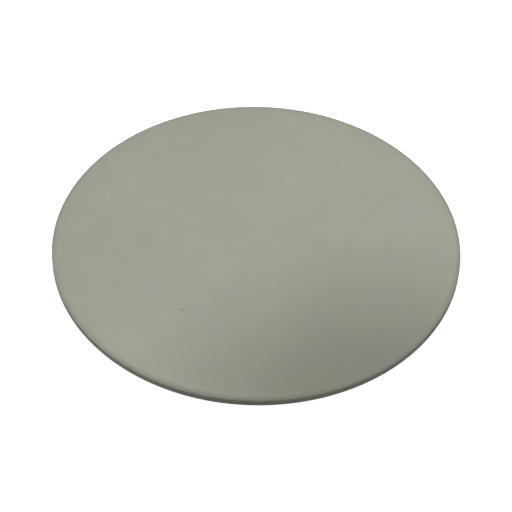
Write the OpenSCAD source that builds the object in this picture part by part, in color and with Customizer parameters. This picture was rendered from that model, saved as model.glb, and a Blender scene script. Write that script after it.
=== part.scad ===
// Round solid-top access cover with a rolled edge, as a welded fabrication:
// a pressed skin on an edge band, stiffened by ribs inside a locating ring.
// +Z is up. The origin is the centre of the locating ring's bottom edge.

/* [Cover] */
// Diameter over the edge band
cover_d = 650; // [640:1:760]
// Height from the locating ring's bottom edge to the top face
cover_h = 36; // [34:1:60]

/* [Top skin] */
// Thickness of the pressed skin
skin_t = 4; // [3:0.5:4]
// Outer radius of the rolled edge
roll_r = 11.5; // [10:0.5:14]
// Slope of the skin where the roll ends at the edge band, in degrees
roll_end_deg = 60; // [58:1:70]
// Width of the margin that falls gently from the flat face to the roll
margin_w = 20; // [10:1:30]
// Slope of the margin where it meets the roll, in degrees
margin_deg = 5; // [1:0.1:6]

/* [Edge band] */
// Height of the band's upright face below the roll
band_wall_h = 7.5; // [6:0.5:12]
// Rounding of the band's lower outer corner
band_round = 6; // [2:0.5:6]
// Thickness of the edge band
band_t = 8; // [7.5:0.5:9]
// Chamfer on the band's lower inner corner
band_chamfer = 0.8; // [0.2:0.1:1.2]

/* [Locating ring] */
// Diameter over the locating ring, below the seal seat
ring_d = 594; // [540:1:594]
// Thickness of the locating ring's bar
ring_t = 6; // [5:0.5:8]
// Width of the shoulder that the seal seat rests on
shoulder_w = 1; // [0.5:0.25:1.5]
// Chamfer that leads the ring into the opening
lead_in = 1.5; // [0.5:0.25:2]

/* [Seal] */
// Thickness of the seal's rubber section
seal_t = 8; // [5:0.5:8]
// Gap between the locating ring and the seal
seal_gap = 3; // [2.5:0.5:4]
// Gap between the seal and the edge band
seal_edge_gap = 2; // [1:0.5:4]
// How far the seal stands below the edge band
seal_proud = 2; // [1:0.5:3]
// Thickness of the seal seat's plate
seat_t = 4; // [3:0.5:4]

/* [Stiffeners] */
// Diameter over the hub ring
hub_d = 90; // [70:1:120]
// Wall of the hub ring
hub_t = 6; // [4:0.5:8]
// Thickness of the ribs and cross bars
rib_t = 6; // [4:0.5:8]
// How far the ribs and the hub ring stop short of the locating ring's bottom edge
rib_lift = 2; // [1:0.5:4]
// Distance from the centre to the middle of a cross bar
cross_bar_r = 168; // [130:1:190]
// Depth of a cross bar
cross_bar_h = 20; // [14:1:24]

/* [Hidden] */
$fn = 180;
RIBS = 8;
RIB_STEP = 360 / RIBS;

cover_r = cover_d / 2;
ring_r = ring_d / 2;
ring_inner_r = ring_r - ring_t;
band_inner_r = cover_r - band_t;
hub_r = hub_d / 2;

// The margin is an arc that starts level and runs smoothly into the roll's arc
ARC_STEPS = 12;
margin_r = margin_w / sin(margin_deg);
flat_r = cover_r - roll_r * (sin(roll_end_deg) - sin(margin_deg)) - margin_w;
margin_centre_z = cover_h - margin_r;
roll_centre_r = cover_r - roll_r * sin(roll_end_deg);
roll_centre_z = margin_centre_z + (margin_r - roll_r) * cos(margin_deg);
band_top_z = roll_centre_z + roll_r * cos(roll_end_deg);
lip_inner_deg = acos((band_top_z - roll_centre_z) / (roll_r - skin_t));

band_z = band_top_z - band_wall_h - band_round;
under_skin_z = cover_h - skin_t;
seal_z = band_z - seal_proud;
seat_z = seal_z + seal_t;
seal_inner_r = ring_r + seal_gap;
seal_outer_r = band_inner_r - seal_edge_gap;

// Points along an arc about a centre, from one slope to another
function arc_points(centre, radius, from_deg, to_deg) = [
    for (k = [0:ARC_STEPS])
        let (slope = from_deg + (to_deg - from_deg) * k / ARC_STEPS)
            centre + radius * [sin(slope), cos(slope)]
];

// Flat ring between two radii, from z upwards by h
module flat_ring(inner_r, outer_r, z, h) {
    translate([0, 0, z])
        difference() {
            cylinder(r = outer_r, h = h);
            translate([0, 0, -1]) cylinder(r = inner_r, h = h + 2);
        }
}

// Pressed disc of even thickness, trimmed level where it lands on the edge band
module top_skin() {
    margin_centre = [flat_r, margin_centre_z];
    roll_centre = [roll_centre_r, roll_centre_z];
    outer_face = concat(
        arc_points(margin_centre, margin_r, 0, margin_deg),
        arc_points(roll_centre, roll_r, margin_deg, roll_end_deg)
    );
    inner_face = concat(
        arc_points(roll_centre, roll_r - skin_t, lip_inner_deg, margin_deg),
        arc_points(margin_centre, margin_r - skin_t, margin_deg, 0)
    );
    color([0.62, 0.62, 0.57])
        rotate_extrude()
            polygon(concat([[0, cover_h]], outer_face, inner_face, [[0, under_skin_z]]));
}

module edge_band() {
    corner_centre = [cover_r - band_round, band_z + band_round];
    color([0.60, 0.60, 0.55])
        rotate_extrude()
            polygon(concat(
                [
                    [cover_r, band_top_z],
                    [band_inner_r, band_top_z],
                    [band_inner_r, band_z + band_chamfer],
                    [band_inner_r + band_chamfer, band_z]
                ],
                arc_points(corner_centre, band_round, 180, 90)
            ));
}

module locating_ring() {
    color([0.56, 0.57, 0.53])
        rotate_extrude()
            polygon([
                [ring_inner_r, 0],
                [ring_r - lead_in, 0],
                [ring_r, lead_in],
                [ring_r, seat_z],
                [ring_r - shoulder_w, seat_z],
                [ring_r - shoulder_w, under_skin_z],
                [ring_inner_r, under_skin_z]
            ]);
}

module seal_seat() {
    color([0.58, 0.58, 0.54])
        flat_ring(ring_r - shoulder_w, band_inner_r, seat_z, seat_t);
}

module seal() {
    color([0.10, 0.10, 0.10])
        flat_ring(seal_inner_r, seal_outer_r, seal_z, seal_t);
}

module hub_ring() {
    color([0.56, 0.57, 0.53])
        flat_ring(hub_r - hub_t, hub_r, rib_lift, under_skin_z - rib_lift);
}

// Radial bar whose ends follow the hub ring and the locating ring
module rib(i) {
    bar_h = under_skin_z - rib_lift;
    color([0.56, 0.57, 0.53])
        rotate([0, 0, (i - 1) * RIB_STEP])
            intersection() {
                translate([0, -rib_t / 2, rib_lift]) cube([ring_r, rib_t, bar_h]);
                flat_ring(hub_r, ring_inner_r, rib_lift, bar_h);
            }
}

// Bar across one panel, cut at its ends along the faces of the two ribs beside it
module cross_bar(i) {
    half_deg = RIB_STEP / 2;
    near_r = cross_bar_r - rib_t / 2;
    far_r = cross_bar_r + rib_t / 2;
    end_shift = rib_t / 2 / cos(half_deg);
    near_y = near_r * tan(half_deg) - end_shift;
    far_y = far_r * tan(half_deg) - end_shift;
    color([0.56, 0.57, 0.53])
        rotate([0, 0, (i - 0.5) * RIB_STEP])
            translate([0, 0, under_skin_z - cross_bar_h])
                linear_extrude(cross_bar_h)
                    polygon([[near_r, -near_y], [far_r, -far_y], [far_r, far_y], [near_r, near_y]]);
}

top_skin();
edge_band();
locating_ring();
seal_seat();
seal();
hub_ring();
for (i = [1:RIBS]) {
    rib(i);
    cross_bar(i);
}
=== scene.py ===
import math

import bmesh
import bpy
from mathutils import Matrix, Vector


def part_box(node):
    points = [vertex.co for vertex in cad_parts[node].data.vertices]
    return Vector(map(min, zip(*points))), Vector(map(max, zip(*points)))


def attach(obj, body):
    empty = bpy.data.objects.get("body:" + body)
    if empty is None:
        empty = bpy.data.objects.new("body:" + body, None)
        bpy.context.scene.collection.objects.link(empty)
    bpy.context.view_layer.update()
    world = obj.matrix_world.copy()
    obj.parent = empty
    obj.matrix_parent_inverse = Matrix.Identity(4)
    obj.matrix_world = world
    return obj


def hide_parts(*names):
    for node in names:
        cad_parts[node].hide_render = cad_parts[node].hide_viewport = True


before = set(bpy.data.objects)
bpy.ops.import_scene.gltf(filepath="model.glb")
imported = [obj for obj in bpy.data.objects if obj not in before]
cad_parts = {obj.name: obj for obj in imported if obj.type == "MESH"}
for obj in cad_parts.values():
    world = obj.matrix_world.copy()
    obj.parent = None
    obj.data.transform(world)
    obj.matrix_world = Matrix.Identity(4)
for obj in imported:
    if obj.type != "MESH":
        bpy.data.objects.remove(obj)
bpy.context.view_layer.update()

millimetre = 0.001
mergeGap = 0.002 * millimetre
scene = bpy.context.scene
print("frame loaded:", len(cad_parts), "nodes")


def addNode(tree, kind, wires=None, **settings):
    node = tree.nodes.new(kind)
    for name, value in settings.items():
        setattr(node, name, value)
    for name, value in (wires or {}).items():
        socket = node.inputs[name]
        if isinstance(value, bpy.types.NodeSocket):
            tree.links.new(value, socket)
        else:
            socket.default_value = value
    return node


def addMath(tree, operation, first, second=0.0, third=0.0):
    node = addNode(tree, "ShaderNodeMath", {0: first, 1: second, 2: third}, operation=operation)
    return node.outputs[0]


def newGeometryTree(name, sockets):
    tree = bpy.data.node_groups.new(name, "GeometryNodeTree")
    tree.is_modifier = True
    tree.interface.new_socket("Geometry", in_out="INPUT", socket_type="NodeSocketGeometry")
    for label, kind in sockets:
        tree.interface.new_socket(label, in_out="INPUT", socket_type="NodeSocket" + kind)
    tree.interface.new_socket("Geometry", in_out="OUTPUT", socket_type="NodeSocketGeometry")
    return tree, tree.nodes.new("NodeGroupInput"), tree.nodes.new("NodeGroupOutput")


def runGeometryTree(piece, tree, values):
    modifier = piece.modifiers.new("build", "NODES")
    modifier.node_group = tree
    for item in tree.interface.items_tree:
        if item.in_out == "INPUT" and item.name in values:
            modifier[item.identifier] = values[item.name]
    depsgraph = bpy.context.evaluated_depsgraph_get()
    mesh = bpy.data.meshes.new_from_object(piece.evaluated_get(depsgraph), depsgraph=depsgraph)
    piece.modifiers.remove(modifier)
    piece.data = mesh
    return piece


def meshPiece(name, points, edges=(), faces=()):
    mesh = bpy.data.meshes.new(name)
    mesh.from_pydata(points, edges, faces)
    piece = bpy.data.objects.new(name, mesh)
    scene.collection.objects.link(piece)
    return piece


def closeAndSmooth(piece, sharpDegrees=28):
    mesh = piece.data
    work = bmesh.new()
    work.from_mesh(mesh)
    bmesh.ops.remove_doubles(work, verts=work.verts, dist=mergeGap)
    bmesh.ops.recalc_face_normals(work, faces=work.faces)
    work.to_mesh(mesh)
    work.free()
    mesh.shade_smooth()
    mesh.set_sharp_from_angle(angle=math.radians(sharpDegrees))


def makeSpinTree():
    sockets = [("Segments", "Int"), ("Sway", "Float"), ("Sway Scale", "Float"), ("Material", "Material")]
    tree, inputs, outputs = newGeometryTree("spinSection", sockets)
    section = inputs.outputs["Geometry"]
    segments = inputs.outputs["Segments"]
    count = addNode(tree, "GeometryNodeAttributeDomainSize", {"Geometry": section}).outputs["Point Count"]
    columns = addMath(tree, "ADD", segments, 1)
    grid = addNode(tree, "GeometryNodeMeshGrid", {"Vertices X": columns, "Vertices Y": count}).outputs["Mesh"]
    index = addNode(tree, "GeometryNodeInputIndex").outputs[0]
    column = addMath(tree, "FLOOR", addMath(tree, "DIVIDE", index, count))
    row = addMath(tree, "SUBTRACT", index, addMath(tree, "MULTIPLY", column, count))
    position = addNode(tree, "GeometryNodeInputPosition").outputs[0]
    sample = addNode(tree, "GeometryNodeSampleIndex", {"Geometry": section, "Index": row},
                     data_type="FLOAT_VECTOR", domain="POINT")
    tree.links.new(position, sample.inputs["Value"])
    split = addNode(tree, "ShaderNodeSeparateXYZ", {0: sample.outputs["Value"]})
    turn = addMath(tree, "MULTIPLY", addMath(tree, "DIVIDE", column, segments), 2 * math.pi)
    along = addMath(tree, "MULTIPLY", split.outputs["X"], addMath(tree, "COSINE", turn))
    across = addMath(tree, "MULTIPLY", split.outputs["X"], addMath(tree, "SINE", turn))
    spun = addNode(tree, "ShaderNodeCombineXYZ", {"X": along, "Y": across,
                                                  "Z": split.outputs["Z"]}).outputs[0]
    placed = addNode(tree, "GeometryNodeSetPosition", {"Geometry": grid, "Position": spun}).outputs[0]
    # a slow rise and fall over the whole sheet
    noise = addNode(tree, "ShaderNodeTexNoise", {"Vector": spun, "Scale": inputs.outputs["Sway Scale"],
                                                 "Detail": 1.0}, noise_dimensions="3D")
    centred = addMath(tree, "SUBTRACT", noise.outputs[0], 0.5)
    lift = addMath(tree, "MULTIPLY", centred, inputs.outputs["Sway"])
    push = addNode(tree, "ShaderNodeCombineXYZ", {"Z": lift}).outputs[0]
    swayed = addNode(tree, "GeometryNodeSetPosition", {"Geometry": placed, "Offset": push}).outputs[0]
    merged = addNode(tree, "GeometryNodeMergeByDistance", {"Geometry": swayed,
                                                           "Distance": mergeGap}).outputs[0]
    whole = addNode(tree, "GeometryNodeRealizeInstances", {"Geometry": merged}).outputs[0]
    finished = addNode(tree, "GeometryNodeSetMaterial", {"Geometry": whole,
                                                         "Material": inputs.outputs["Material"]}).outputs[0]
    tree.links.new(finished, outputs.inputs["Geometry"])
    return tree


spinTree = makeSpinTree()


def spinSection(name, section, segments, material, sway=0.0, swayScale=1.0):
    points = [(radius, 0.0, height) for radius, height in section]
    piece = meshPiece(name, points, [(i, i + 1) for i in range(len(points) - 1)])
    runGeometryTree(piece, spinTree, {"Segments": segments, "Sway": sway, "Sway Scale": swayScale,
                                      "Material": material})
    closeAndSmooth(piece)
    return piece


def arcPoints(centre, radius, fromDegrees, toDegrees, steps):
    points = []
    for step in range(steps + 1):
        slope = math.radians(fromDegrees + (toDegrees - fromDegrees) * step / steps)
        points.append((centre[0] + radius * math.sin(slope), centre[1] + radius * math.cos(slope)))
    return points


def roundedSection(corners, steps=5):
    # each corner is (radius, height, rounding); the outline is closed
    points = []
    for i, (x, z, rounding) in enumerate(corners):
        here = Vector((x, z))
        before = Vector(corners[i - 1][:2])
        after = Vector(corners[(i + 1) % len(corners)][:2])
        if rounding <= 0:
            points.append((x, z))
            continue
        toBefore = (before - here).normalized()
        toAfter = (after - here).normalized()
        half = toBefore.angle(toAfter) / 2
        reach = rounding / math.tan(half)
        centre = here + (toBefore + toAfter).normalized() * rounding / math.sin(half)
        start = here + toBefore * reach - centre
        end = here + toAfter * reach - centre
        swing = start.angle_signed(end)
        for step in range(steps + 1):
            turn = -swing * step / steps
            point = centre + Matrix.Rotation(turn, 2) @ start
            points.append((point.x, point.y))
    points.append(points[0])
    return points


def newMaterial(name):
    material = bpy.data.materials.new(name)
    material.use_nodes = True
    tree = material.node_tree
    shader = tree.nodes["Principled BSDF"]
    coordinates = addNode(tree, "ShaderNodeTexCoord").outputs["Object"]
    return material, tree, shader, coordinates


def noiseField(tree, coordinates, scale, detail=2.0, roughness=0.5):
    node = addNode(tree, "ShaderNodeTexNoise", {"Vector": coordinates, "Scale": scale, "Detail": detail,
                                                "Roughness": roughness})
    return node.outputs[0]


def remap(tree, value, fromLow, fromHigh, toLow, toHigh, smooth=False):
    node = addNode(tree, "ShaderNodeMapRange", {"Value": value, "From Min": fromLow, "From Max": fromHigh,
                                                "To Min": toLow, "To Max": toHigh})
    node.interpolation_type = "SMOOTHSTEP" if smooth else "LINEAR"
    return node.outputs[0]


# most of a noise field's values lie between these two
noiseLow = 0.3
noiseHigh = 0.7


def spreadField(tree, coordinates, scale, spread, detail=2.0, middle=1.0):
    # noise that strays from a middle value by up to about the spread
    return remap(tree, noiseField(tree, coordinates, scale, detail), noiseLow, noiseHigh,
                 middle - spread, middle + spread)


def tint(tree, colour, factor):
    # multiplies a colour by a grey factor
    grey = addNode(tree, "ShaderNodeCombineXYZ", {"X": factor, "Y": factor, "Z": factor}).outputs[0]
    node = addNode(tree, "ShaderNodeVectorMath", {0: colour, 1: grey}, operation="MULTIPLY")
    return node.outputs[0]


coatLook = {
    "colour": (0.348, 0.350, 0.291),
    "roughness": 0.46,
    "roughSpread": 0.03,
    "roughScale": 15.6,
    "toneScale": 4.0,
    "toneSpread": 0.03,
    "patchScale": 26.0,
    "patchSpread": 0.02,
    "mottleScale": 170.0,
    "mottleSpread": 0.014,
    "grainScale": 700.0,
    "grainSpread": 0.03,
    "hueSpread": 0.018,
    "hueScale": 18.2,
    "redShare": 0.4,
    "peelScale": 520.0,
    "peelDepth": 0.012 * millimetre,
    "speckScale": 55.0,
    "speckSize": 0.055,
    "speckTone": 0.90,
}
markEdge = {
    "core": 0.45,
    "ragged": 0.5,
    "raggedScale": 500.0,
}


def roundMark(tree, coordinates, place, reach):
    # 1 at the mark's middle and 0 outside it, with an uneven edge
    away = addNode(tree, "ShaderNodeVectorMath", {0: coordinates, 1: place}, operation="SUBTRACT").outputs[0]
    flat = addNode(tree, "ShaderNodeVectorMath", {0: away, 1: (1 / reach[0], 1 / reach[1], 1 / reach[2])},
                   operation="MULTIPLY").outputs[0]
    distance = addNode(tree, "ShaderNodeVectorMath", {0: flat}, operation="LENGTH").outputs["Value"]
    ragged = markEdge["ragged"]
    edge = noiseField(tree, coordinates, markEdge["raggedScale"], 3.0)
    uneven = remap(tree, edge, 0.0, 1.0, -ragged, ragged)
    return remap(tree, addMath(tree, "ADD", distance, uneven), markEdge["core"], 1.0, 1.0, 0.0, smooth=True)


def darken(tree, factor, mask, amount):
    # scales a grey factor by 1 - amount where the mask is 1
    keep = addMath(tree, "SUBTRACT", 1.0, addMath(tree, "MULTIPLY", mask, amount))
    return addMath(tree, "MULTIPLY", factor, keep)


def makeCoat(name, look, marks=()):
    material, tree, shader, coordinates = newMaterial(name)
    tone = spreadField(tree, coordinates, look["toneScale"], look["toneSpread"])
    patch = spreadField(tree, coordinates, look["patchScale"], look["patchSpread"], 3.0)
    grain = spreadField(tree, coordinates, look["grainScale"], look["grainSpread"], 1.0)
    mottle = spreadField(tree, coordinates, look["mottleScale"], look["mottleSpread"])
    broad = addMath(tree, "MULTIPLY", tone, patch)
    factor = addMath(tree, "MULTIPLY", broad, addMath(tree, "MULTIPLY", mottle, grain))
    cells = addNode(tree, "ShaderNodeTexVoronoi", {"Vector": coordinates, "Scale": look["speckScale"],
                                                   "Randomness": 1.0})
    speck = remap(tree, cells.outputs["Distance"], look["speckSize"] / 2, look["speckSize"], 1.0, 0.0,
                  smooth=True)
    factor = darken(tree, factor, speck, 1 - look["speckTone"])
    for place, reach, amount in marks:
        factor = darken(tree, factor, roundMark(tree, coordinates, place, reach), amount)
    warm = spreadField(tree, coordinates, look["hueScale"], look["hueSpread"], middle=0.0)
    redder = addMath(tree, "ADD", 1.0, addMath(tree, "MULTIPLY", warm, look["redShare"]))
    shade = addNode(tree, "ShaderNodeCombineXYZ", {
        "X": addMath(tree, "MULTIPLY", factor, redder),
        "Y": factor,
        "Z": addMath(tree, "MULTIPLY", factor, addMath(tree, "SUBTRACT", 1.0, warm))}).outputs[0]
    colour = addNode(tree, "ShaderNodeVectorMath", {0: look["colour"], 1: shade}, operation="MULTIPLY")
    tree.links.new(colour.outputs[0], shader.inputs["Base Color"])
    rough = spreadField(tree, coordinates, look["roughScale"], look["roughSpread"], middle=look["roughness"])
    tree.links.new(rough, shader.inputs["Roughness"])
    peel = noiseField(tree, coordinates, look["peelScale"], 2.0)
    bump = addNode(tree, "ShaderNodeBump", {"Height": peel, "Distance": look["peelDepth"]})
    tree.links.new(bump.outputs[0], shader.inputs["Normal"])
    return material


rubberLook = {
    "colour": (0.022, 0.022, 0.021),
    "roughness": 0.62,
    "bloomScale": 18.0,
    "dustScale": 240.0,
    "grainScale": 900.0,
    "grainDepth": 0.03 * millimetre,
}


def makeRubber(name, look):
    material, tree, shader, coordinates = newMaterial(name)
    bloom = remap(tree, noiseField(tree, coordinates, look["bloomScale"], 4.0), 0.35, 0.75, 0.85, 1.5)
    dust = remap(tree, noiseField(tree, coordinates, look["dustScale"], 4.0), 0.55, 0.75, 1.0, 1.6)
    tree.links.new(tint(tree, look["colour"], addMath(tree, "MULTIPLY", bloom, dust)),
                   shader.inputs["Base Color"])
    shader.inputs["Roughness"].default_value = look["roughness"]
    grain = noiseField(tree, coordinates, look["grainScale"], 3.0)
    bump = addNode(tree, "ShaderNodeBump", {"Height": grain, "Distance": look["grainDepth"]})
    tree.links.new(bump.outputs[0], shader.inputs["Normal"])
    return material


# place, reach and strength of each mark in the coat
faceMarks = (
    ((-0.1150, -0.1500, 0.036), (0.0030, 0.0034, 0.01), 0.16),
    ((-0.1115, -0.1522, 0.036), (0.0040, 0.0030, 0.01), 0.20),
    ((-0.1865, -0.2665, 0.0305), (0.0040, 0.0040, 0.0020), 0.30),
)
faceCoat = makeCoat("faceCoat", coatLook, faceMarks)
barCoat = makeCoat("barCoat", dict(coatLook, colour=(0.300, 0.305, 0.262), roughness=0.52, toneSpread=0.06,
                                   patchSpread=0.05, peelScale=320.0, peelDepth=0.03 * millimetre,
                                   speckSize=0.10))
weldCoat = makeCoat("weldCoat", dict(coatLook, colour=(0.285, 0.288, 0.245), roughness=0.44, toneSpread=0.05,
                                     patchSpread=0.06, peelScale=900.0, peelDepth=0.02 * millimetre))
sealRubber = makeRubber("sealRubber", rubberLook)
print("materials made")


def addPiece(piece, slotName, *nodes):
    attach(piece, "root")
    if nodes:
        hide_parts(*nodes)


skin = {
    "thickness": 4 * millimetre,
    "rollRadius": 11.5 * millimetre,
    "rollEnd": 60,
    "marginWidth": 20 * millimetre,
    "marginSlope": 5,
    "rings": 24,
    "marginSteps": 6,
    "rollSteps": 14,
    "lipSteps": 8,
    "segments": 480,
    "sway": 0.30 * millimetre,
    "swayScale": 5.0,
}


def buildSkin():
    low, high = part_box("top_skin")
    rim, top = high.x, high.z
    rollRadius, thickness = skin["rollRadius"], skin["thickness"]
    slope = math.radians(skin["marginSlope"])
    end = math.radians(skin["rollEnd"])
    marginRadius = skin["marginWidth"] / math.sin(slope)
    flatEdge = rim - rollRadius * (math.sin(end) - math.sin(slope)) - skin["marginWidth"]
    marginCentre = (flatEdge, top - marginRadius)
    rollHeight = marginCentre[1] + (marginRadius - rollRadius) * math.cos(slope)
    rollCentre = (rim - rollRadius * math.sin(end), rollHeight)
    lipTurn = math.degrees(math.acos((low.z - rollCentre[1]) / (rollRadius - thickness)))
    flat = [flatEdge * i / skin["rings"] for i in range(skin["rings"])]
    section = [(radius, top) for radius in flat]
    section += arcPoints(marginCentre, marginRadius, 0, skin["marginSlope"], skin["marginSteps"])
    section += arcPoints(rollCentre, rollRadius, skin["marginSlope"], skin["rollEnd"], skin["rollSteps"])[1:]
    section += arcPoints(rollCentre, rollRadius - thickness, lipTurn, skin["marginSlope"], skin["lipSteps"])
    section += arcPoints(marginCentre, marginRadius - thickness, skin["marginSlope"], 0,
                         skin["marginSteps"])[1:]
    section += [(radius, top - thickness) for radius in reversed(flat)]
    return spinSection("coverSkin", section, skin["segments"], faceCoat, skin["sway"], skin["swayScale"])


band = {
    "thickness": 8 * millimetre,
    "rounding": 6 * millimetre,
    "chamfer": 0.8 * millimetre,
}


def buildBand():
    low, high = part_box("edge_band")
    inner = high.x - band["thickness"]
    corners = [(high.x, high.z, 0), (high.x, low.z, band["rounding"]), (inner, low.z, band["chamfer"]),
               (inner, high.z, 0)]
    return spinSection("edgeBand", roundedSection(corners, 8), skin["segments"], faceCoat)


addPiece(buildSkin(), "powder_coat", "top_skin")
addPiece(buildBand(), "powder_coat", "edge_band")
print("skin and edge band made")

ring = {
    "thickness": 6 * millimetre,
    "shoulder": 1 * millimetre,
    "leadIn": 1.5 * millimetre,
    "rounding": 0.5 * millimetre,
    "seatRounding": 0.4 * millimetre,
    "segments": 360,
}


def buildLocatingRing():
    low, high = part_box("locating_ring")
    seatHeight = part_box("seal_seat")[0].z
    inner, step, soft = high.x - ring["thickness"], high.x - ring["shoulder"], ring["rounding"]
    corners = [(inner, low.z, soft), (inner, high.z, 0), (step, high.z, 0), (step, seatHeight, 0),
               (high.x, seatHeight, 0), (high.x, low.z + ring["leadIn"], soft),
               (high.x - ring["leadIn"], low.z, soft)]
    return spinSection("locatingRing", roundedSection(corners, 4), ring["segments"], barCoat)


def buildSealSeat():
    low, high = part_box("seal_seat")
    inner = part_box("locating_ring")[1].x - ring["shoulder"]
    soft = ring["seatRounding"]
    corners = [(inner, low.z, 0), (inner, high.z, soft), (high.x, high.z, soft), (high.x, low.z, soft)]
    return spinSection("sealSeat", roundedSection(corners, 3), ring["segments"], barCoat)


seal = {
    "width": 15 * millimetre,
    "lips": 3,
    "lipRadius": 2.2 * millimetre,
    "grooveDepth": 1.6 * millimetre,
    "rounding": 0.7 * millimetre,
    "lipSteps": 8,
    "segments": 300,
}


def buildSeal():
    low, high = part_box("seal")
    inner = high.x - seal["width"]
    lip = seal["lipRadius"]
    pitch = (seal["width"] - 2 * lip) / (seal["lips"] - 1)
    section = []
    # rounded lips along the underside, with a square groove between neighbours
    for k in range(seal["lips"]):
        middle = inner + lip + pitch * k
        if k:
            section.append((middle - lip, low.z + lip + seal["grooveDepth"]))
        for step in range(seal["lipSteps"] + 1):
            turn = math.pi * (1 - step / seal["lipSteps"])
            section.append((middle + lip * math.cos(turn), low.z + lip - lip * math.sin(turn)))
        if k < seal["lips"] - 1:
            section.append((middle + lip, low.z + lip + seal["grooveDepth"]))
    soft = seal["rounding"]
    section += [(high.x, high.z - soft), (high.x - soft, high.z), (inner + soft, high.z),
                (inner, high.z - soft)]
    section.append(section[0])
    return spinSection("sealStrip", section, seal["segments"], sealRubber)


hub = {
    "thickness": 6 * millimetre,
    "rounding": 0.8 * millimetre,
    "segments": 128,
}


def buildHub():
    low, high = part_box("hub_ring")
    inner, soft = high.x - hub["thickness"], hub["rounding"]
    corners = [(inner, low.z, soft), (inner, high.z, 0), (high.x, high.z, 0), (high.x, low.z, soft)]
    return spinSection("hubRing", roundedSection(corners, 4), hub["segments"], barCoat)


addPiece(buildLocatingRing(), "coated_steel", "locating_ring")
addPiece(buildSealSeat(), "coated_steel", "seal_seat")
addPiece(buildSeal(), "seal_rubber", "seal")
addPiece(buildHub(), "coated_steel", "hub_ring")
print("rings and seal made")


def makeSpokeTree():
    sockets = [("Count", "Int"), ("First Turn", "Float"), ("Material", "Material")]
    tree, inputs, outputs = newGeometryTree("spokeRow", sockets)
    count = inputs.outputs["Count"]
    points = addNode(tree, "GeometryNodeMeshLine", {"Count": count, "Offset": (0, 0, 0)}).outputs[0]
    index = addNode(tree, "GeometryNodeInputIndex").outputs[0]
    share = addMath(tree, "MULTIPLY", addMath(tree, "DIVIDE", index, count), 2 * math.pi)
    turned = addMath(tree, "ADD", share, inputs.outputs["First Turn"])
    turn = addNode(tree, "ShaderNodeCombineXYZ", {"Z": turned})
    row = addNode(tree, "GeometryNodeInstanceOnPoints", {"Points": points, "Rotation": turn.outputs[0],
                                                         "Instance": inputs.outputs["Geometry"]}).outputs[0]
    whole = addNode(tree, "GeometryNodeRealizeInstances", {"Geometry": row}).outputs[0]
    finished = addNode(tree, "GeometryNodeSetMaterial", {"Geometry": whole,
                                                         "Material": inputs.outputs["Material"]})
    tree.links.new(finished.outputs[0], outputs.inputs["Geometry"])
    return tree


spokeTree = makeSpokeTree()

bars = {
    "count": 8,
    "thickness": 6 * millimetre,
    "edgeRounding": 0.7 * millimetre,
    "crossMiddle": 168 * millimetre,
}


def barBlank(name, outline, bottom, top, rounding):
    # upright bar on an outline, with its lower edges eased
    work = bmesh.new()
    lower = [work.verts.new((x, y, bottom)) for x, y in outline]
    face = work.faces.new(lower)
    grown = bmesh.ops.extrude_face_region(work, geom=[face])["geom"]
    for vertex in (item for item in grown if isinstance(item, bmesh.types.BMVert)):
        vertex.co.z = top
    bmesh.ops.recalc_face_normals(work, faces=work.faces)
    edges = [edge for edge in work.edges if all(abs(v.co.z - bottom) < rounding / 10 for v in edge.verts)]
    bmesh.ops.bevel(work, geom=edges, offset=rounding, segments=3, profile=0.5, affect="EDGES")
    mesh = bpy.data.meshes.new(name)
    work.to_mesh(mesh)
    work.free()
    blank = bpy.data.objects.new(name, mesh)
    scene.collection.objects.link(blank)
    return blank


def buildRibs():
    low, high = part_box("rib_1")
    half = bars["thickness"] / 2
    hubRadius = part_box("hub_ring")[1].x
    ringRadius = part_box("locating_ring")[1].x - ring["thickness"]
    sides = [half * i / 2 for i in (-2, -1, 0, 1, 2)]
    outline = [(math.sqrt(ringRadius ** 2 - y * y), y) for y in sides]
    outline += [(math.sqrt(hubRadius ** 2 - y * y), y) for y in reversed(sides)]
    blank = barBlank("radialRibs", outline, low.z, high.z, bars["edgeRounding"])
    runGeometryTree(blank, spokeTree, {"Count": bars["count"], "First Turn": 0.0, "Material": barCoat})
    closeAndSmooth(blank)
    return blank


def buildCrossBars():
    low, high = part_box("cross_bar_1")
    halfTurn = math.pi / bars["count"]
    shift = bars["thickness"] / 2 / math.cos(halfTurn)
    near = bars["crossMiddle"] - bars["thickness"] / 2
    far = bars["crossMiddle"] + bars["thickness"] / 2
    nearSide = near * math.tan(halfTurn) - shift
    farSide = far * math.tan(halfTurn) - shift
    outline = [(near, -nearSide), (far, -farSide), (far, farSide), (near, nearSide)]
    blank = barBlank("crossBars", outline, low.z, high.z, bars["edgeRounding"])
    runGeometryTree(blank, spokeTree, {"Count": bars["count"], "First Turn": halfTurn, "Material": barCoat})
    closeAndSmooth(blank)
    return blank


addPiece(buildRibs(), "coated_steel", *[f"rib_{i + 1}" for i in range(bars["count"])])
addPiece(buildCrossBars(), "coated_steel", *[f"cross_bar_{i + 1}" for i in range(bars["count"])])
print("ribs and cross bars made")


welds = {
    "radius": 2.3 * millimetre,
    "step": 0.8 * millimetre,
    "pitch": 2.4 * millimetre,
    "rippleDepth": 0.08,
    "endLength": 1.5,
    "endShare": 0.04,
    "sides": 8,
    "wander": 0.5 * millimetre,
    "wanderScale": 160.0,
    "stitchLength": 34 * millimetre,
    # the rest are in degrees round the axis
    "arcStep": 3,
    "ringStitchTurn": 11,
    "ringStitchHalf": 4,
    "hubOuterHalf": 14,
    "hubInnerHalf": 9,
    "ringJoinTurn": 200,
}


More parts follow.
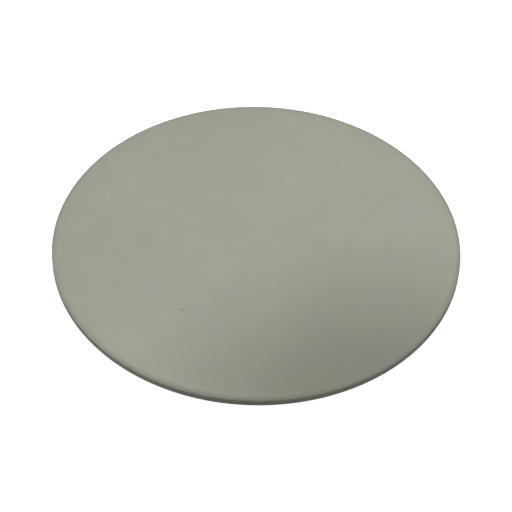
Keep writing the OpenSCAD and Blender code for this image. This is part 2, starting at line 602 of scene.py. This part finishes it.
def makeBeadTree():
    sockets = [("Bead Radius", "Float"), ("Step", "Float"), ("Ripple Pitch", "Float"),
               ("Ripple Depth", "Float"), ("Wander", "Float"), ("Material", "Material")]
    tree, inputs, outputs = newGeometryTree("weldBeads", sockets)
    paths = addNode(tree, "GeometryNodeMeshToCurve", {0: inputs.outputs["Geometry"]}).outputs[0]
    even = addNode(tree, "GeometryNodeResampleCurve", {"Curve": paths, "Length": inputs.outputs["Step"]},
                   mode="LENGTH")
    position = addNode(tree, "GeometryNodeInputPosition").outputs[0]
    noise = addNode(tree, "ShaderNodeTexNoise", {"Vector": position, "Scale": welds["wanderScale"],
                                                 "Detail": 1.0})
    centred = addNode(tree, "ShaderNodeVectorMath", {0: noise.outputs["Color"], 1: (0.5, 0.5, 0.5)},
                      operation="SUBTRACT").outputs[0]
    drift = addNode(tree, "ShaderNodeVectorMath", {0: centred, "Scale": inputs.outputs["Wander"]},
                    operation="SCALE")
    wandering = addNode(tree, "GeometryNodeSetPosition", {"Geometry": even.outputs[0],
                                                          "Offset": drift.outputs[0]})
    along = addNode(tree, "GeometryNodeSplineParameter").outputs["Length"]
    ripples = addMath(tree, "DIVIDE", along, inputs.outputs["Ripple Pitch"])
    phase = addMath(tree, "MULTIPLY", ripples, 2 * math.pi)
    ripple = addMath(tree, "MULTIPLY", addMath(tree, "SINE", phase), inputs.outputs["Ripple Depth"])
    body = addMath(tree, "MULTIPLY", addMath(tree, "ADD", ripple, 1.0), inputs.outputs["Bead Radius"])
    # round off both ends of each bead
    whole = addNode(tree, "GeometryNodeSplineLength").outputs["Length"]
    fromEnd = addMath(tree, "MINIMUM", along, addMath(tree, "SUBTRACT", whole, along))
    reach = addMath(tree, "MULTIPLY", inputs.outputs["Bead Radius"], welds["endLength"])
    grown = addMath(tree, "MINIMUM", addMath(tree, "DIVIDE", fromEnd, reach), 1.0)
    share = addMath(tree, "MAXIMUM", grown, welds["endShare"])
    rest = addMath(tree, "SUBTRACT", 1.0, share)
    taper = addMath(tree, "SQRT", addMath(tree, "SUBTRACT", 1.0, addMath(tree, "MULTIPLY", rest, rest)))
    radius = addMath(tree, "MULTIPLY", body, taper)
    sized = addNode(tree, "GeometryNodeSetCurveRadius", {"Curve": wandering.outputs[0],
                                                         "Radius": radius}).outputs[0]
    profile = addNode(tree, "GeometryNodeCurvePrimitiveCircle", {"Resolution": welds["sides"],
                                                                 "Radius": 1.0}).outputs[0]
    beads = addNode(tree, "GeometryNodeCurveToMesh", {"Curve": sized, "Profile Curve": profile,
                                                      "Fill Caps": True})
    if "Scale" in beads.inputs:
        tree.links.new(radius, beads.inputs["Scale"])
    solid = addNode(tree, "GeometryNodeRealizeInstances", {"Geometry": beads.outputs[0]}).outputs[0]
    finished = addNode(tree, "GeometryNodeSetMaterial", {"Geometry": solid,
                                                         "Material": inputs.outputs["Material"]})
    tree.links.new(finished.outputs[0], outputs.inputs["Geometry"])
    return tree


class WeldPaths:
    def __init__(self):
        self.points = []
        self.edges = []

    def line(self, points):
        first = len(self.points)
        self.points += [tuple(point) for point in points]
        self.edges += [(first + k, first + k + 1) for k in range(len(points) - 1)]

    def arc(self, radius, height, fromDegrees, toDegrees):
        count = max(2, round(abs(toDegrees - fromDegrees) / welds["arcStep"]))
        turns = [math.radians(fromDegrees + (toDegrees - fromDegrees) * k / count) for k in range(count + 1)]
        self.line([(radius * math.cos(t), radius * math.sin(t), height) for t in turns])

    def turned(self, points, degrees):
        turn = Matrix.Rotation(math.radians(degrees), 3, "Z")
        self.line([turn @ Vector(point) for point in points])


def buildWelds():
    paths = WeldPaths()
    panel = 360 / bars["count"]
    half = bars["thickness"] / 2
    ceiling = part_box("rib_1")[1].z
    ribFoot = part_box("rib_1")[0].z
    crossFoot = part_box("cross_bar_1")[0].z
    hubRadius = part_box("hub_ring")[1].x
    hubInner = hubRadius - hub["thickness"]
    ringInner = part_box("locating_ring")[1].x - ring["thickness"]
    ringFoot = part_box("locating_ring")[0].z
    margin = 2 * welds["radius"]
    stitch = welds["stitchLength"]
    bays = ((hubRadius, bars["crossMiddle"] - half), (bars["crossMiddle"] + half, ringInner))
    for k in range(bars["count"]):
        turn = k * panel
        for side in (-half, half):
            for radius in (hubRadius, ringInner):
                reach = math.sqrt(radius ** 2 - half ** 2)
                paths.turned([(reach, side, ribFoot + margin / 2), (reach, side, ceiling)], turn)
            for start, end in bays:
                # stitches along the rib's foot against the skin, starting at each end of the bay
                for first in (start + margin, end - margin - stitch):
                    paths.turned([(first, side, ceiling), (first + stitch, side, ceiling)], turn)
        middle = turn + panel / 2
        slant = math.tan(math.radians(panel / 2))
        shift = half / math.cos(math.radians(panel / 2))
        for reach in (bars["crossMiddle"] - half, bars["crossMiddle"] + half):
            side = reach * slant - shift
            for sign in (-1, 1):
                foot = (reach, sign * side, crossFoot + margin / 2)
                paths.turned([foot, (reach, sign * side, ceiling)], middle)
            paths.turned([(reach, -stitch / 2, ceiling), (reach, stitch / 2, ceiling)], middle)
        for offset in (-welds["ringStitchTurn"], welds["ringStitchTurn"]):
            ringMiddle = middle + offset
            ringHalf = welds["ringStitchHalf"]
            paths.arc(ringInner, ceiling, ringMiddle - ringHalf, ringMiddle + ringHalf)
        paths.arc(hubRadius, ceiling, middle - welds["hubOuterHalf"], middle + welds["hubOuterHalf"])
        paths.arc(hubInner, ceiling, middle - welds["hubInnerHalf"], middle + welds["hubInnerHalf"])
    join = math.radians(welds["ringJoinTurn"])
    for radius, foot in ((ringInner, ringFoot + margin / 2), (hubInner, ribFoot + margin / 2)):
        paths.line([(radius * math.cos(join), radius * math.sin(join), foot),
                    (radius * math.cos(join), radius * math.sin(join), ceiling)])
    piece = meshPiece("weldBeads", paths.points, paths.edges)
    runGeometryTree(piece, makeBeadTree(), {
        "Bead Radius": welds["radius"], "Step": welds["step"], "Ripple Pitch": welds["pitch"],
        "Ripple Depth": welds["rippleDepth"], "Wander": welds["wander"], "Material": weldCoat})
    closeAndSmooth(piece, 60)
    return piece


addPiece(buildWelds(), "coated_steel")
print("weld beads made")

studio = {
    "floorRadius": 9.0,
    "domeRadius": 14.0,
    "domeStep": 5,
    "segments": 96,
    "paperGlow": 0.96,
    "paperColour": 0.5,
}


def buildStudio():
    material = bpy.data.materials.new("studioPaper")
    material.use_nodes = True
    tree = material.node_tree
    tree.nodes.clear()
    glow = addNode(tree, "ShaderNodeEmission", {"Color": (1, 1, 1, 1), "Strength": studio["paperGlow"]})
    paper = addNode(tree, "ShaderNodeBsdfDiffuse", {"Color": (studio["paperColour"],) * 3 + (1,)})
    both = addNode(tree, "ShaderNodeAddShader", {0: glow.outputs[0], 1: paper.outputs[0]})
    output = addNode(tree, "ShaderNodeOutputMaterial")
    tree.links.new(both.outputs[0], output.inputs["Surface"])
    section = [(0.0, 0.0), (studio["floorRadius"], 0.0)]
    step = studio["domeStep"]
    rises = [math.radians(degrees) for degrees in range(step, 90 + step, step)]
    dome = studio["domeRadius"]
    section += [(dome * math.cos(rise), dome * math.sin(rise)) for rise in rises]
    sweep = spinSection("studioSweep", section, studio["segments"], material)
    sweep.visible_diffuse = False
    sweep.visible_glossy = False
    sweep.visible_shadow = False


# panels round the cover, each by its turn from +X in degrees
panelRing = {
    "turns": (0, 45, 90, 225, 270, 315),
    "rise": 45,
    "power": 7,
}
stripRing = {
    "turns": (0, 225, 315),
    "rise": 12,
    "power": 7,
}
topPanel = {
    "turn": 90,
    "rise": 86,
    "size": 1.0,
    "power": 32,
}
sideStrip = {
    "turn": 180,
    "power": 20,
}
panelReach = 2.6
panelSize = 1.2
shadeCard = {
    "centre": (0.16, -0.26, 0.60),
    "radius": 0.23,
    "points": 48,
}


def addPanel(name, turn, rise, power, size=panelSize, glare=True):
    data = bpy.data.lights.new(name, "AREA")
    data.shape = "SQUARE"
    data.size = size
    data.energy = power
    lamp = bpy.data.objects.new(name, data)
    level = panelReach * math.cos(math.radians(rise))
    aim = Vector((0, 0, camera["aimHeight"]))
    around = math.radians(turn)
    height = panelReach * math.sin(math.radians(rise))
    lamp.location = aim + Vector((level * math.cos(around), level * math.sin(around), height))
    lamp.rotation_mode = "QUATERNION"
    lamp.rotation_quaternion = (aim - lamp.location).to_track_quat("-Z", "Y")
    lamp.visible_glossy = glare
    scene.collection.objects.link(lamp)


def buildLights():
    addPanel("topPanel", topPanel["turn"], topPanel["rise"], topPanel["power"], topPanel["size"])
    for turn in panelRing["turns"]:
        addPanel(f"panel_{turn}", turn, panelRing["rise"], panelRing["power"])
    # the low strips give no glare, which would wash out the face in a level view
    for turn in stripRing["turns"]:
        addPanel(f"strip_{turn}", turn, stripRing["rise"], stripRing["power"], glare=False)
    addPanel("sideStrip", sideStrip["turn"], stripRing["rise"], sideStrip["power"], glare=False)
    world = bpy.data.worlds.new("studioWorld")
    world.use_nodes = True
    world.node_tree.nodes["Background"].inputs["Color"].default_value = (0, 0, 0, 1)
    scene.world = world
    scene.view_settings.view_transform = "Standard"
    # a round card that holds back some of the panels' light from the front right of the cover
    x, y, z = shadeCard["centre"]
    turns = [2 * math.pi * k / shadeCard["points"] for k in range(shadeCard["points"])]
    radius = shadeCard["radius"]
    points = [(x + radius * math.cos(t), y + radius * math.sin(t), z) for t in turns]
    card = meshPiece("shadeCard", points, faces=[tuple(range(len(points)))])
    card.visible_camera = False
    card.visible_diffuse = False
    card.visible_glossy = False


camera = {
    "elevation": 46,
    "distance": 3.0,
    "lens": 131.9,
    "sensor": 36,
    "shiftX": -0.0005,
    "roll": 1.1,
    "shiftY": -0.0155,
    "aimHeight": 0.018,
}


def buildCamera():
    data = bpy.data.cameras.new("studioCamera")
    data.lens = camera["lens"]
    data.sensor_width = camera["sensor"]
    data.shift_x = camera["shiftX"]
    data.shift_y = camera["shiftY"]
    data.dof.use_dof = False
    view = bpy.data.objects.new("studioCamera", data)
    rise = math.radians(camera["elevation"])
    back = Vector((0, -math.cos(rise), math.sin(rise)))
    view.location = Vector((0, 0, camera["aimHeight"])) + back * camera["distance"]
    turn = (-back).to_track_quat("-Z", "Y").to_matrix().to_4x4()
    roll = Matrix.Rotation(math.radians(camera["roll"]), 4, "Z")
    view.matrix_world = Matrix.Translation(view.location) @ turn @ roll
    scene.collection.objects.link(view)
    scene.camera = view


buildStudio()
buildLights()
buildCamera()
print("studio made")
